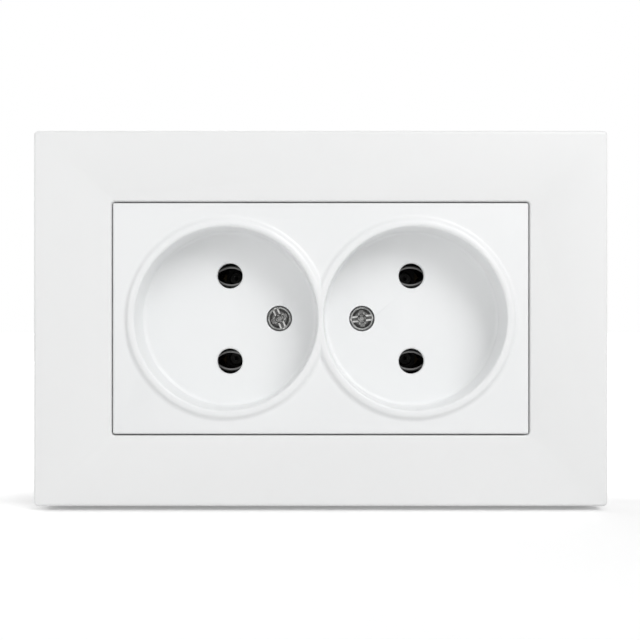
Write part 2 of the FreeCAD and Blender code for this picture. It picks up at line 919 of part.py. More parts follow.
def make_pad(pole, side):
    """Pressure plate under a terminal screw's tip, at the top of the open cage."""
    x = sides[side] * wire_offset * poles[pole]
    half = pad_width / 2
    pad = box(
        x - half,
        x + half,
        pad_top - pad_thickness,
        pad_top,
        terminal_screw_rise - pad_length / 2,
        terminal_screw_rise + pad_length / 2,
    )
    return pad if pole == "live" else half_turn(pad)


def make_terminal_screw(pole, side):
    """Slotted screw, backed out so that its head stands clear of the housing."""
    x = sides[side] * wire_offset * poles[pole]
    head_under = terminal_top + pad_gap + terminal_screw_travel
    up = vector(0, 1, 0)
    shank = Part.makeCylinder(
        terminal_screw_radius, head_under - pad_top, vector(x, pad_top, terminal_screw_rise), up
    )
    head = Part.makeCylinder(
        terminal_screw_head_radius,
        terminal_screw_head_height,
        vector(x, head_under, terminal_screw_rise),
        up,
    )
    top = head_under + terminal_screw_head_height
    crown = [edge for edge in head.Edges if abs(edge.BoundBox.YMin - top) < 1e-4]
    head = head.makeChamfer(terminal_screw_head_height / 6, crown)
    half = terminal_screw_slot_width / 2
    reach = terminal_screw_head_radius + past
    slot = box(
        x - reach,
        x + reach,
        top - terminal_screw_slot_depth,
        top + past,
        terminal_screw_rise - half,
        terminal_screw_rise + half,
    )
    screw = shank.fuse(head).removeSplitter().cut(slot)
    return screw if pole == "live" else half_turn(screw)


# Claws. A right-hand claw is made about its trunnion, and the left one is the same piece turned round.


def upright(points, y):
    """A point list of X and Z in the plane at Y, moved to the claw's place."""
    return [vector(claw_screw_offset + x, y, z - claw_nut_drop) for x, z in points]


def claw_ear(y_low):
    web_outside = claw_web_offset + claw_sheet
    corners = [
        (-claw_tail, -claw_tail),
        (web_outside, -claw_tail),
        (web_outside, claw_web_length),
        (heel_x + heel_radius, heel_z + heel_radius),
        (heel_x - heel_radius, heel_z + heel_radius),
        (-claw_tail, claw_tail),
    ]
    corner = claw_corner_round
    radii = [claw_tail_round, claw_sheet, corner, corner, heel_radius, claw_tail_round]
    wire = rounded_outline(upright(corners, y_low), radii)
    return extruded(wire, vector(0, claw_sheet, 0))


def claw_blade():
    """Outer web of the claw, with its front end bent out for the teeth."""
    outside = claw_web_offset + claw_sheet
    half = claw_ear_inside + claw_sheet
    corners = [
        (claw_web_offset, -claw_tail),
        (outside, -claw_tail),
        (outside, claw_web_length),
        (outside + claw_tooth_reach, claw_web_length + claw_tooth_rise),
        (outside + claw_tooth_reach - claw_sheet, claw_web_length + claw_tooth_rise),
        (claw_web_offset, claw_web_length + claw_sheet / 2),
    ]
    wire = rounded_outline(
        upright(corners, -half), [0, claw_sheet / 2, claw_bend_round, 0, 0, claw_bend_round]
    )
    blade = extruded(wire, vector(0, 2 * half, 0))
    pitch = 2 * half / claw_tooth_count
    tip_x = claw_screw_offset + outside + claw_tooth_reach + claw_tooth_margin
    tip_z = claw_web_length + claw_tooth_rise - claw_nut_drop
    for y in spread(claw_tooth_count + 1, pitch):
        corners = [
            vector(tip_x, y - pitch / 2, tip_z + claw_tooth_margin),
            vector(tip_x, y + pitch / 2, tip_z + claw_tooth_margin),
            vector(tip_x, y, tip_z - claw_tooth_rise / 2),
        ]
        wire = Part.makePolygon(corners + corners[:1])
        blade = blade.cut(extruded(wire, vector(-2 * claw_tooth_reach, 0, 0)))
    return blade


def make_claw(side):
    ears = [claw_ear(claw_ear_inside), claw_ear(-claw_ear_inside - claw_sheet)]
    claw = claw_blade().fuse(ears).removeSplitter()
    reach = claw_ear_inside + 2 * claw_sheet
    hole = Part.makeCylinder(
        trunnion_radius + trunnion_clearance,
        2 * reach,
        vector(claw_screw_offset, -reach, -claw_nut_drop),
        vector(0, 1, 0),
    )
    claw = claw.cut(hole)
    return claw if side == "right" else half_turn(claw)


def make_claw_nut(side):
    """Barrel nut that travels along the claw screw and carries the claw on its two trunnions."""
    along = vector(0, 1, 0)
    start = vector(claw_screw_offset, -claw_nut_half_length, -claw_nut_drop)
    barrel = Part.makeCylinder(claw_nut_radius, 2 * claw_nut_half_length, start, along)
    reach = claw_ear_inside + claw_sheet + trunnion_reach
    start = vector(claw_screw_offset, -reach, -claw_nut_drop)
    trunnions = Part.makeCylinder(trunnion_radius, 2 * reach, start, along)
    nut = barrel.fuse(trunnions).removeSplitter()
    bore = cylinder(claw_screw_radius + thread_clearance, base_back, 0, claw_screw_offset)
    nut = nut.cut(bore)
    return nut if side == "right" else half_turn(nut)


def make_claw_screw(side):
    top = plate_thickness + claw_screw_head_height
    head = cylinder(claw_screw_head_radius, plate_thickness, top, claw_screw_offset)
    head = head.makeChamfer(claw_screw_head_height / 5, level_edges(head, top))
    end = -claw_nut_drop - claw_screw_tail
    shank = cylinder(claw_screw_radius, end, plate_thickness, claw_screw_offset)
    screw = head.fuse(shank).removeSplitter()
    half = claw_screw_slot_width / 2
    reach = claw_screw_head_radius + past
    slot = box(
        claw_screw_offset - reach,
        claw_screw_offset + reach,
        -half,
        half,
        top - claw_screw_slot_depth,
        top + past,
    )
    screw = screw.cut(slot)
    return screw if side == "right" else half_turn(screw)


def all_pieces():
    """Every piece by its node's name."""
    pieces = {
        "frame": make_frame(),
        "socket_insert": make_insert(),
        "mounting_plate": make_mounting_plate(),
        "contact_base": make_base(),
        "contact_retainer": make_retainer(),
    }
    for side in sides:
        pieces[f"cover_screw_{side}"] = make_cover_screw(side)
        pieces[f"cover_nut_{side}"] = make_cover_nut(side)
        pieces[f"claw_{side}"] = make_claw(side)
        pieces[f"claw_nut_{side}"] = make_claw_nut(side)
        pieces[f"claw_screw_{side}"] = make_claw_screw(side)
    for pole in poles:
        pieces[f"{pole}_bar"] = make_bar(pole)
        pieces[f"{pole}_terminal"] = make_terminal(pole)
        for side in sides:
            pieces[f"{pole}_clip_{side}"] = make_clip(pole, side)
            pieces[f"{pole}_rivet_{side}"] = make_rivet(pole, side)
            pieces[f"{pole}_pad_{side}"] = make_pad(pole, side)
            pieces[f"{pole}_screw_{side}"] = make_terminal_screw(pole, side)
    return pieces


def stand_up(shape):
    return shape.rotated(vector(0, 0, 0), vector(1, 0, 0), 90)


def main():
    os.makedirs("parts", exist_ok=True)
    for name, shape in all_pieces().items():
        solids = shape.Solids
        standing = stand_up(solids[0] if len(solids) == 1 else shape)
        if len(solids) != 1 or not standing.isValid() or standing.Volume <= 0:
            print(f"look at {name}: {len(solids)} solids, valid {standing.isValid()}")
        standing.exportStep(f"parts/{name}.step")
        print(f"{name}: {standing.Volume:.1f} mm3")


main()
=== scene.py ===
import bpy
import bmesh
import json
import math
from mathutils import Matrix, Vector

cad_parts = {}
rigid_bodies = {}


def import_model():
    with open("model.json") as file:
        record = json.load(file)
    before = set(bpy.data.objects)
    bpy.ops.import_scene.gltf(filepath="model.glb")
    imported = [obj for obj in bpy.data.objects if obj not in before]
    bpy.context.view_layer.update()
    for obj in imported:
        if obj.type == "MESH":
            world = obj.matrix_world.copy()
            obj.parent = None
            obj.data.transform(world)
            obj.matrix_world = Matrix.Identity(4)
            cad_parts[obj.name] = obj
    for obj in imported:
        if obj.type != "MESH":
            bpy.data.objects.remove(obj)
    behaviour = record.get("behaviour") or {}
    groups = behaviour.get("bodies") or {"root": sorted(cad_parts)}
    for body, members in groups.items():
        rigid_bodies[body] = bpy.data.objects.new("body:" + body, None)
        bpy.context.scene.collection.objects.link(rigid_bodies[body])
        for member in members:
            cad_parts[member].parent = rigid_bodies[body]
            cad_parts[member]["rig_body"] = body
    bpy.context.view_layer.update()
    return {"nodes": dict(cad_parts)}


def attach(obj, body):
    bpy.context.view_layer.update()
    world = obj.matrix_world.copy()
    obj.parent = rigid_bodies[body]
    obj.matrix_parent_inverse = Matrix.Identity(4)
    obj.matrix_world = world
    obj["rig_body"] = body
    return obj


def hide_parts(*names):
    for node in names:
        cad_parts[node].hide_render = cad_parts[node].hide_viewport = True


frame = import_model()
scene = bpy.context.scene
mm = 0.001
sides = {"left": -1, "right": 1}  # which way along X
poles = {"live": 1, "neutral": -1}  # which way along Z
print("frame loaded:", len(frame["nodes"]), "nodes")


# Small helpers for node trees, used for shaders and for Geometry Nodes alike

def addNode(tree, kind, inputs=None, **properties):
    node = tree.nodes.new(kind)
    for name, value in properties.items():
        setattr(node, name, value)
    for key, value in (inputs or {}).items():
        socket = node.inputs[key]
        for one in value if isinstance(value, list) else [value]:  # a list feeds a socket that takes several
            if isinstance(one, bpy.types.NodeSocket):
                tree.links.new(one, socket)
            else:
                socket.default_value = one
    return node


def calc(tree, operation, a, b=0.0):
    return addNode(tree, "ShaderNodeMath", {0: a, 1: b}, operation=operation).outputs[0]


def asVector(tree, x=0.0, y=0.0, z=0.0):
    return addNode(tree, "ShaderNodeCombineXYZ", {"X": x, "Y": y, "Z": z}).outputs[0]


# Materials: each reads Object coordinates, so a pattern stays on its piece

plasticIor = 1.49
plasticSheen = {"down": 0.03, "up": 0.04}  # how far the roughness wanders from a plastic's own
metalSheen = {"down": 0.06, "up": 0.08}
finishDepth = 0.02 * mm  # height of brushing, lathe rings and streaks in metal
spangle = {"share": 0.35, "cloudSize": 3, "from": 0.45, "to": 0.85}  # a metal's crystals over larger clouds


def newMaterial(name):
    # also gives back the socket of the piece's own coordinates
    material = bpy.data.materials.new(name)
    material.use_nodes = True
    tree = material.node_tree
    tree.nodes.clear()
    return material, tree, addNode(tree, "ShaderNodeTexCoord").outputs["Object"]


def closeMaterial(tree, shader):
    addNode(tree, "ShaderNodeOutputMaterial", {"Surface": shader.outputs[0]})


def mixColour(tree, factor, first, second):
    # sockets 6 and 7 take the two colours, and output 2 is their mix
    mix = addNode(tree, "ShaderNodeMix", {0: factor, 6: (*first, 1), 7: (*second, 1)}, data_type="RGBA")
    return mix.outputs[2]


def spread(tree, value, low, high, fromLow=0.3, fromHigh=0.7):
    # a noise texture stays mostly between the two limits that are given here
    return addNode(tree, "ShaderNodeMapRange", {
        "Value": value, "From Min": fromLow, "From Max": fromHigh, "To Min": low, "To Max": high}).outputs[0]


def wander(tree, value, middle, sheen):
    return spread(tree, value, middle - sheen["down"], middle + sheen["up"])


def mouldedPlastic(name, look):
    material, tree, place = newMaterial(name)
    cloud = addNode(tree, "ShaderNodeTexNoise", {"Vector": place, "Scale": look["cloudScale"], "Detail": 2.0})
    grain = addNode(tree, "ShaderNodeTexNoise", {"Vector": place, "Scale": look["grainScale"], "Detail": 3.0})
    bump = addNode(tree, "ShaderNodeBump", {
        "Strength": look["grainStrength"], "Distance": look["grainDepth"], "Height": grain.outputs[0]})
    shader = addNode(tree, "ShaderNodeBsdfPrincipled", {
        "Base Color": mixColour(tree, cloud.outputs[0], look["colour"], look["cloudColour"]),
        "Roughness": wander(tree, cloud.outputs[0], look["roughness"], plasticSheen),
        "Normal": bump.outputs[0], "IOR": plasticIor, "Specular IOR Level": look["gloss"]})
    closeMaterial(tree, shader)
    return material


def rolledMetal(name, look):
    material, tree, place = newMaterial(name)
    squeezed = addNode(tree, "ShaderNodeMapping", {"Vector": place, "Scale": look["brushing"]}).outputs[0]
    brush = addNode(tree, "ShaderNodeTexNoise", {
        "Vector": squeezed, "Scale": look["brushScale"], "Detail": 4.0})
    patch = addNode(tree, "ShaderNodeTexVoronoi", {"Vector": place, "Scale": look["patchScale"]})
    blotch = addNode(tree, "ShaderNodeTexNoise", {
        "Vector": place, "Scale": look["patchScale"] / spangle["cloudSize"], "Detail": 3.0})
    crystals = calc(tree, "MULTIPLY", patch.outputs["Distance"], spangle["share"])
    tone = calc(tree, "ADD", crystals, blotch.outputs[0])
    cover = spread(tree, tone, 0.0, 1.0, spangle["from"], spangle["to"])
    bump = addNode(tree, "ShaderNodeBump", {
        "Strength": look["brushStrength"], "Distance": finishDepth, "Height": brush.outputs[0]})
    shader = addNode(tree, "ShaderNodeBsdfPrincipled", {
        "Base Color": mixColour(tree, cover, look["colour"], look["patchColour"]),
        "Roughness": wander(tree, brush.outputs[0], look["roughness"], metalSheen),
        "Normal": bump.outputs[0], "Metallic": 1.0})
    closeMaterial(tree, shader)
    return material


def below(tree, value, limit, soft=0.05 * mm):
    # one up to the limit, zero beyond it
    return spread(tree, value, 1.0, 0.0, limit - soft, limit + soft)


def band(tree, value, low, high, soft=0.05 * mm):
    # one between the two limits, zero outside them
    rise = spread(tree, value, 0.0, 1.0, low - soft, low + soft)
    return calc(tree, "MULTIPLY", rise, below(tree, value, high, soft))


def paintedReflectionHead(name, look, centre, slotAngle):
    # A screw head that faces the room, one steel whose colour holds painted light: painted highlights on its
    # ring and the slot's lips, a painted dark reflection between them and painted shade in the slot
    material, tree, place = newMaterial(name)
    centred = addNode(tree, "ShaderNodeMapping", {
        "Vector": place, "Location": (-centre[0], 0, -centre[1])}).outputs[0]
    turned = addNode(tree, "ShaderNodeVectorRotate", {
        "Vector": centred, "Axis": (0, 1, 0), "Angle": math.radians(slotAngle)}).outputs[0]
    parts = addNode(tree, "ShaderNodeSeparateXYZ", {0: turned}).outputs
    flat = asVector(tree, parts["X"], 0.0, parts["Z"])
    spots = {
        "out": addNode(tree, "ShaderNodeVectorMath", {0: flat}, operation="LENGTH").outputs["Value"],
        "along": calc(tree, "ABSOLUTE", parts["X"]),
        "across": calc(tree, "ABSOLUTE", parts["Z"]),
    }
    # the colour starts from a painted dark reflection, and each mark adds a painted highlight or reflection
    paintedReflectionTone = look["hollow"]
    for mark in look["paintedReflections"]:
        cover = mark["tone"]
        for way in ("out", "along", "across"):
            if way in mark:
                low, high = mark[way]
                cover = calc(tree, "MULTIPLY", cover, band(tree, spots[way], low * mm, high * mm))
        paintedReflectionTone = calc(tree, "MAXIMUM", paintedReflectionTone, cover)
    # painted shade in the slot, laid over the painted reflections
    slot = calc(tree, "MULTIPLY", below(tree, spots["across"], look["slotHalf"] * mm),
                band(tree, spots["out"], look["slotFrom"] * mm, look["slotTo"] * mm))
    paintedReflectionTone = addNode(tree, "ShaderNodeMix", {0: slot, 2: paintedReflectionTone, 3: look["slotPaintedShade"]}).outputs[0]
    worn = addNode(tree, "ShaderNodeTexNoise", {"Vector": place, "Scale": look["wearScale"], "Detail": 4.0})
    paintedReflectionTone = calc(tree, "MULTIPLY", paintedReflectionTone, spread(tree, worn.outputs[0], look["wornLow"], look["wornHigh"]))
    rings = calc(tree, "SINE", calc(tree, "MULTIPLY", spots["out"], look["ringsPerMetre"] * 2 * math.pi))
    depth = calc(tree, "ADD", calc(tree, "MULTIPLY", rings, look["ringShare"]), worn.outputs[0])
    bump = addNode(tree, "ShaderNodeBump", {
        "Strength": look["ringStrength"], "Distance": finishDepth, "Height": depth})
    shader = addNode(tree, "ShaderNodeBsdfPrincipled", {
        "Base Color": asVector(tree, paintedReflectionTone, paintedReflectionTone, calc(tree, "MULTIPLY", paintedReflectionTone, look["warmth"])),
        "Normal": bump.outputs[0], "Metallic": 1.0,
        "Roughness": wander(tree, worn.outputs[0], look["roughness"], look["sheen"])})
    closeMaterial(tree, shader)
    return material


def bronzePaintedShadeAndGlint(name, look):
    # Painted shade: the leaves are coloured dark inside the wells. Painted highlight: the sheared front edges
    # of the leaves are coloured light, only on the half of each lip that lies next to the pin
    material, tree, place = newMaterial(name)
    parts = addNode(tree, "ShaderNodeSeparateXYZ", {0: place}).outputs
    front = below(tree, parts["Y"], look["frontAt"] * mm, look["frontSoft"] * mm)
    # a leaf is bent round an axis on the other side of its pin, and the painted highlight lies on the half
    # nearer to that
    fromPinX = calc(tree, "SUBTRACT", calc(tree, "ABSOLUTE", parts["X"]), look["pinX"] * mm)
    fromPinZ = calc(tree, "SUBTRACT", calc(tree, "ABSOLUTE", parts["Z"]), look["pinZ"] * mm)
    fromAxisZ = calc(tree, "ADD", calc(tree, "ABSOLUTE", fromPinZ), look["bendBehind"] * mm)
    fromAxis = asVector(tree, fromPinX, 0.0, fromAxisZ)
    bend = addNode(tree, "ShaderNodeVectorMath", {0: fromAxis}, operation="LENGTH").outputs["Value"]
    front = calc(tree, "MULTIPLY", front, below(tree, bend, look["paintedGlintReach"] * mm))
    streaks = addNode(tree, "ShaderNodeTexNoise", {
        "Vector": place, "Scale": look["streakScale"], "Detail": 3.0})
    # streaked painted shade of the wells, and the streaked painted highlight of the lips' front edges
    paintedWellShade = mixColour(tree, streaks.outputs[0], look["colour"], look["paintedWellShade"])
    edge = mixColour(tree, streaks.outputs[0], look["edge"], look["paintedGlintStreak"])
    paint = addNode(tree, "ShaderNodeMix", {0: front, 6: paintedWellShade, 7: edge}, data_type="RGBA").outputs[2]
    bump = addNode(tree, "ShaderNodeBump", {
        "Strength": look["streakStrength"], "Distance": finishDepth, "Height": streaks.outputs[0]})
    shader = addNode(tree, "ShaderNodeBsdfPrincipled", {
        "Base Color": paint, "Normal": bump.outputs[0], "Metallic": 1.0,
        "Roughness": wander(tree, streaks.outputs[0], look["roughness"], look["sheen"])})
    closeMaterial(tree, shader)
    return material


plasticLooks = {
    "frameWhite": {"colour": (0.845, 0.85, 0.85), "cloudColour": (0.86, 0.862, 0.86), "cloudScale": 22.0,
                   "grainScale": 2600.0, "grainStrength": 0.05, "grainDepth": 0.00004, "roughness": 0.36,
                   "gloss": 0.45},
    "insertWhite": {"colour": (0.868, 0.878, 0.882), "cloudColour": (0.88, 0.888, 0.89), "cloudScale": 28.0,
                    "grainScale": 2600.0, "grainStrength": 0.04, "grainDepth": 0.00004, "roughness": 0.33,
                    "gloss": 0.5},
    "baseBlack": {"colour": (0.012, 0.012, 0.014), "cloudColour": (0.024, 0.024, 0.026), "cloudScale": 160.0,
                  "grainScale": 1900.0, "grainStrength": 0.12, "grainDepth": 0.00005, "roughness": 0.5,
                  "gloss": 0.4},
}
metalLooks = {
    "zincSteel": {
        "colour": (0.56, 0.59, 0.63), "patchColour": (0.66, 0.67, 0.68), "patchScale": 260.0,
        "brushing": (1.0, 1.0, 9.0), "brushScale": 420.0, "brushStrength": 0.25, "roughness": 0.34},
    "nickelSteel": {
        "colour": (0.58, 0.58, 0.57), "patchColour": (0.68, 0.68, 0.66), "patchScale": 500.0,
        "brushing": (1.0, 6.0, 1.0), "brushScale": 700.0, "brushStrength": 0.15, "roughness": 0.25},
    "brassBlock": {
        "colour": (0.73, 0.54, 0.25), "patchColour": (0.8, 0.63, 0.34), "patchScale": 340.0,
        "brushing": (7.0, 1.0, 1.0), "brushScale": 500.0, "brushStrength": 0.2, "roughness": 0.3},
    # the bars' brass coloured nearly black: painted shade, as they lie in the dark wells
    "brassPaintedShade": {
        "colour": (0.06, 0.046, 0.028), "patchColour": (0.09, 0.07, 0.04), "patchScale": 340.0,
        "brushing": (7.0, 1.0, 1.0), "brushScale": 500.0, "brushStrength": 0.2, "roughness": 0.4},
    # the rivets' steel coloured near black: painted shade in the wells
    "rivetPaintedShade": {
        "colour": (0.03, 0.03, 0.03), "patchColour": (0.05, 0.05, 0.048), "patchScale": 500.0,
        "brushing": (1.0, 6.0, 1.0), "brushScale": 700.0, "brushStrength": 0.15, "roughness": 0.4},
}
# the dark colours are painted shade in the wells; the light edge colours are a painted highlight on the lips
bronzePaintedLight = {
    "colour": (0.026, 0.026, 0.026), "paintedWellShade": (0.042, 0.042, 0.041), "streakScale": 1400.0,
    "edge": (0.17, 0.17, 0.17), "paintedGlintStreak": (0.26, 0.26, 0.256), "streakStrength": 0.15,
    "roughness": 0.4, "sheen": {"down": 0.05, "up": 0.08},
    # in millimetres: the lips' front, the pins' axes and how far from its bend's axis the painted highlight
    # reaches
    "frontAt": -0.42, "frontSoft": 0.03, "pinX": 20.2, "pinZ": 9.5, "bendBehind": 2.5, "paintedGlintReach": 4.62,
}
finishes = {name: mouldedPlastic(name, look) for name, look in plasticLooks.items()}
finishes.update({name: rolledMetal(name, look) for name, look in metalLooks.items()})
finishes["springBronzePaintedLight"] = bronzePaintedShadeAndGlint("springBronzePaintedLight", bronzePaintedLight)
print("materials:", ", ".join(finishes))


# Pieces that keep their CAD form: a merged copy with its edges eased, in place of the loose triangles

cornerWalls = {"inner": 35.3, "outer": 36.13, "near": 9.0, "far": 14.6, "front": -2.45, "back": 17.4}
copiedPieces = {
    "frame": {"piece": "framePlate", "finish": "frameWhite", "ease": 0.12},
    "socket_insert": {"piece": "socketInsert", "finish": "insertWhite", "ease": 0.07},
    "mounting_plate": {"piece": "mountingPlate", "finish": "zincSteel", "ease": 0.1},
    "contact_base": {"piece": "contactBase", "finish": "baseBlack", "ease": 0.12, "walls": cornerWalls},
    "contact_retainer": {"piece": "contactRetainer", "finish": "baseBlack", "ease": 0.1},
}
for side in sides:
    word = side.capitalize()
    copiedPieces[f"cover_nut_{side}"] = {"piece": f"coverNut{word}", "finish": "zincSteel", "ease": 0.12}
    copiedPieces[f"claw_{side}"] = {"piece": f"claw{word}", "finish": "zincSteel", "ease": 0.1}
    copiedPieces[f"claw_nut_{side}"] = {"piece": f"clawNut{word}", "finish": "zincSteel", "ease": 0.12}
for pole in poles:
    copiedPieces[f"{pole}_bar"] = {"piece": f"{pole}Bar", "finish": "brassPaintedShade", "ease": 0.06}
    copiedPieces[f"{pole}_terminal"] = {"piece": f"{pole}Terminal", "finish": "brassBlock", "ease": 0.12}
    for side in sides:
        word = side.capitalize()
        copiedPieces[f"{pole}_clip_{side}"] = {
            "piece": f"{pole}Clip{word}", "finish": "springBronzePaintedLight", "ease": 0.08}
        copiedPieces[f"{pole}_pad_{side}"] = {
            "piece": f"{pole}Pad{word}", "finish": "zincSteel", "ease": 0.08}


def plainMesh(piece):
    # what the modifiers make becomes the piece's own mesh
    graph = bpy.context.evaluated_depsgraph_get()
    mesh = bpy.data.meshes.new_from_object(piece.evaluated_get(graph), depsgraph=graph)
    piece.modifiers.clear()
    piece.data = mesh
    return mesh


sharpAngle = 32  # degrees from which an edge stays sharp, and is eased on a copied piece
flatAngle = 0.4  # degrees within which neighbouring triangles are one face
weldReach = 0.003 * mm  # within this, points of a copied piece are one
sliverReach = 0.002 * mm  # and points of a piece that was cut in its tree


def shade(mesh):
    mesh.shade_smooth()
    mesh.set_sharp_from_angle(angle=math.radians(sharpAngle))


def closeCorners(made, walls):
    # The trenches of the contacts break through the base's cut corners, and a thin wall closes each.
    # Across the corner it lies between two values of x + z, and along it between two values of x - z.
    for across in sides.values():
        for up in poles.values():
            ends = [((total + slant) / 2, (total - slant) / 2) for total in (walls["inner"], walls["outer"])
                    for slant in (walls["near"], walls["far"])]
            corners = [made.verts.new((across * x * mm, y * mm, up * z * mm))
                       for x, z in ends for y in (walls["front"], walls["back"])]
            bmesh.ops.convex_hull(made, input=corners)


def copyPiece(node, plan):
    mesh = frame["nodes"][node].data.copy()
    made = bmesh.new()
    made.from_mesh(mesh)
    if "walls" in plan:
        closeCorners(made, plan["walls"])
    bmesh.ops.remove_doubles(made, verts=made.verts, dist=weldReach)
    bmesh.ops.dissolve_limit(made, angle_limit=math.radians(flatAngle), verts=made.verts, edges=made.edges)
    made.to_mesh(mesh)
    made.free()
    mesh.materials.clear()
    mesh.materials.append(finishes[plan["finish"]])
    mesh.name = plan["piece"]
    piece = bpy.data.objects.new(plan["piece"], mesh)
    scene.collection.objects.link(piece)
    shade(mesh)
    ease = piece.modifiers.new("Ease", "BEVEL")
    ease.width = plan["ease"] * mm
    ease.segments = 2
    ease.limit_method = "ANGLE"
    ease.angle_limit = math.radians(sharpAngle)
    ease.harden_normals = True
    plainMesh(piece)
    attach(piece, frame["nodes"][node]["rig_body"])
    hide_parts(node)


for node, plan in copiedPieces.items():
    copyPiece(node, plan)
print("copied pieces:", len(copiedPieces))


# Geometry Nodes: a tree with named inputs, set on a modifier by the socket's identifier

socketKinds = {float: "NodeSocketFloat", int: "NodeSocketInt", tuple: "NodeSocketVector"}


def startTree(name, inputs):
    tree = bpy.data.node_groups.new(name, "GeometryNodeTree")
    tree.interface.new_socket("Geometry", in_out="OUTPUT", socket_type="NodeSocketGeometry")
    for label, value in inputs.items():
        socket = tree.interface.new_socket(label, in_out="INPUT", socket_type=socketKinds[type(value)])
        socket.default_value = value
    return tree, addNode(tree, "NodeGroupInput").outputs


def endTree(tree, geometry, finish):
    real = addNode(tree, "GeometryNodeRealizeInstances", {"Geometry": geometry}).outputs[0]
    done = addNode(tree, "GeometryNodeSetMaterial", {"Geometry": real, "Material": finish}).outputs[0]
    addNode(tree, "NodeGroupOutput", {"Geometry": done})


def dropSlivers(mesh):
    # the cuts leave a few faces with no width
    made = bmesh.new()
    made.from_mesh(mesh)
    bmesh.ops.remove_doubles(made, verts=made.verts, dist=sliverReach)
    bmesh.ops.dissolve_degenerate(made, edges=made.edges, dist=sliverReach)
    made.to_mesh(mesh)
    made.free()


def growPiece(name, tree, values, finish, nodes):
    piece = bpy.data.objects.new(name, bpy.data.meshes.new(name + "Seed"))
    scene.collection.objects.link(piece)
    grow = piece.modifiers.new("Grow", "NODES")
    grow.node_group = tree
    for item in tree.interface.items_tree:
        if item.in_out == "INPUT" and item.name in values:
            grow[item.identifier] = values[item.name]
    mesh = plainMesh(piece)
    mesh.name = name
    mesh.materials.clear()
    mesh.materials.append(finish)
    dropSlivers(mesh)
    shade(mesh)
    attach(piece, frame["nodes"][nodes[0]]["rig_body"])
    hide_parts(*nodes)


def move(tree, geometry, place=(0, 0, 0), turn=(0, 0, 0)):
    return addNode(tree, "GeometryNodeTransform", {
        "Geometry": geometry, "Translation": place, "Rotation": turn}).outputs[0]


def rod(tree, radius, depth, sidesCount):
    return addNode(tree, "GeometryNodeMeshCylinder", {
        "Vertices": sidesCount, "Radius": radius, "Depth": depth}).outputs["Mesh"]


def block(tree, x, y, z):
    return addNode(tree, "GeometryNodeMeshCube", {"Size": asVector(tree, x, y, z)}).outputs["Mesh"]


def joined(tree, meshes):
    union = addNode(tree, "GeometryNodeMeshBoolean", {"Mesh 2": meshes}, operation="UNION", solver="EXACT")
    return union.outputs[0]


def cutAway(tree, mesh, cutter):
    inputs = {"Mesh 1": mesh, "Mesh 2": cutter, "Self Intersection": True}
    cut = addNode(tree, "GeometryNodeMeshBoolean", inputs, operation="DIFFERENCE", solver="EXACT")
    return cut.outputs[0]


# Screws: head up, its underside at zero, then turned and moved to their place

screwInputs = {
    "Head Radius": 2.65 * mm, "Head Height": 1.9 * mm, "Head Bevel": 0.45 * mm,
    "Shank Radius": 1.5 * mm, "Shank Length": 11.0 * mm, "Thread Pitch": 0.5 * mm, "Thread Depth": 0.3 * mm,
    "Slot Width": 0.6 * mm, "Slot Depth": 0.8 * mm, "Slot Turn": 0.0,
    "Cross Length": 0.0, "Cross Width": 0.8 * mm, "Hub Radius": 1.0 * mm, "Hub Depth": 1.2 * mm,
    "Round": 64, "Place": (0.0, 0.0, 0.0), "Turn": (0.0, 0.0, 0.0),
}
# cutters against the radius of the head or the hub, and the shank's plain ends in pitches of its thread
screwCuts = {"slotReach": 2.4, "hubNarrow": 0.5, "hubWide": 1.5}
screwThread = {"sides": 32, "turnPoints": 28, "ridgeSides": 4, "plainEnd": 0.6, "plainBoth": 1.2}


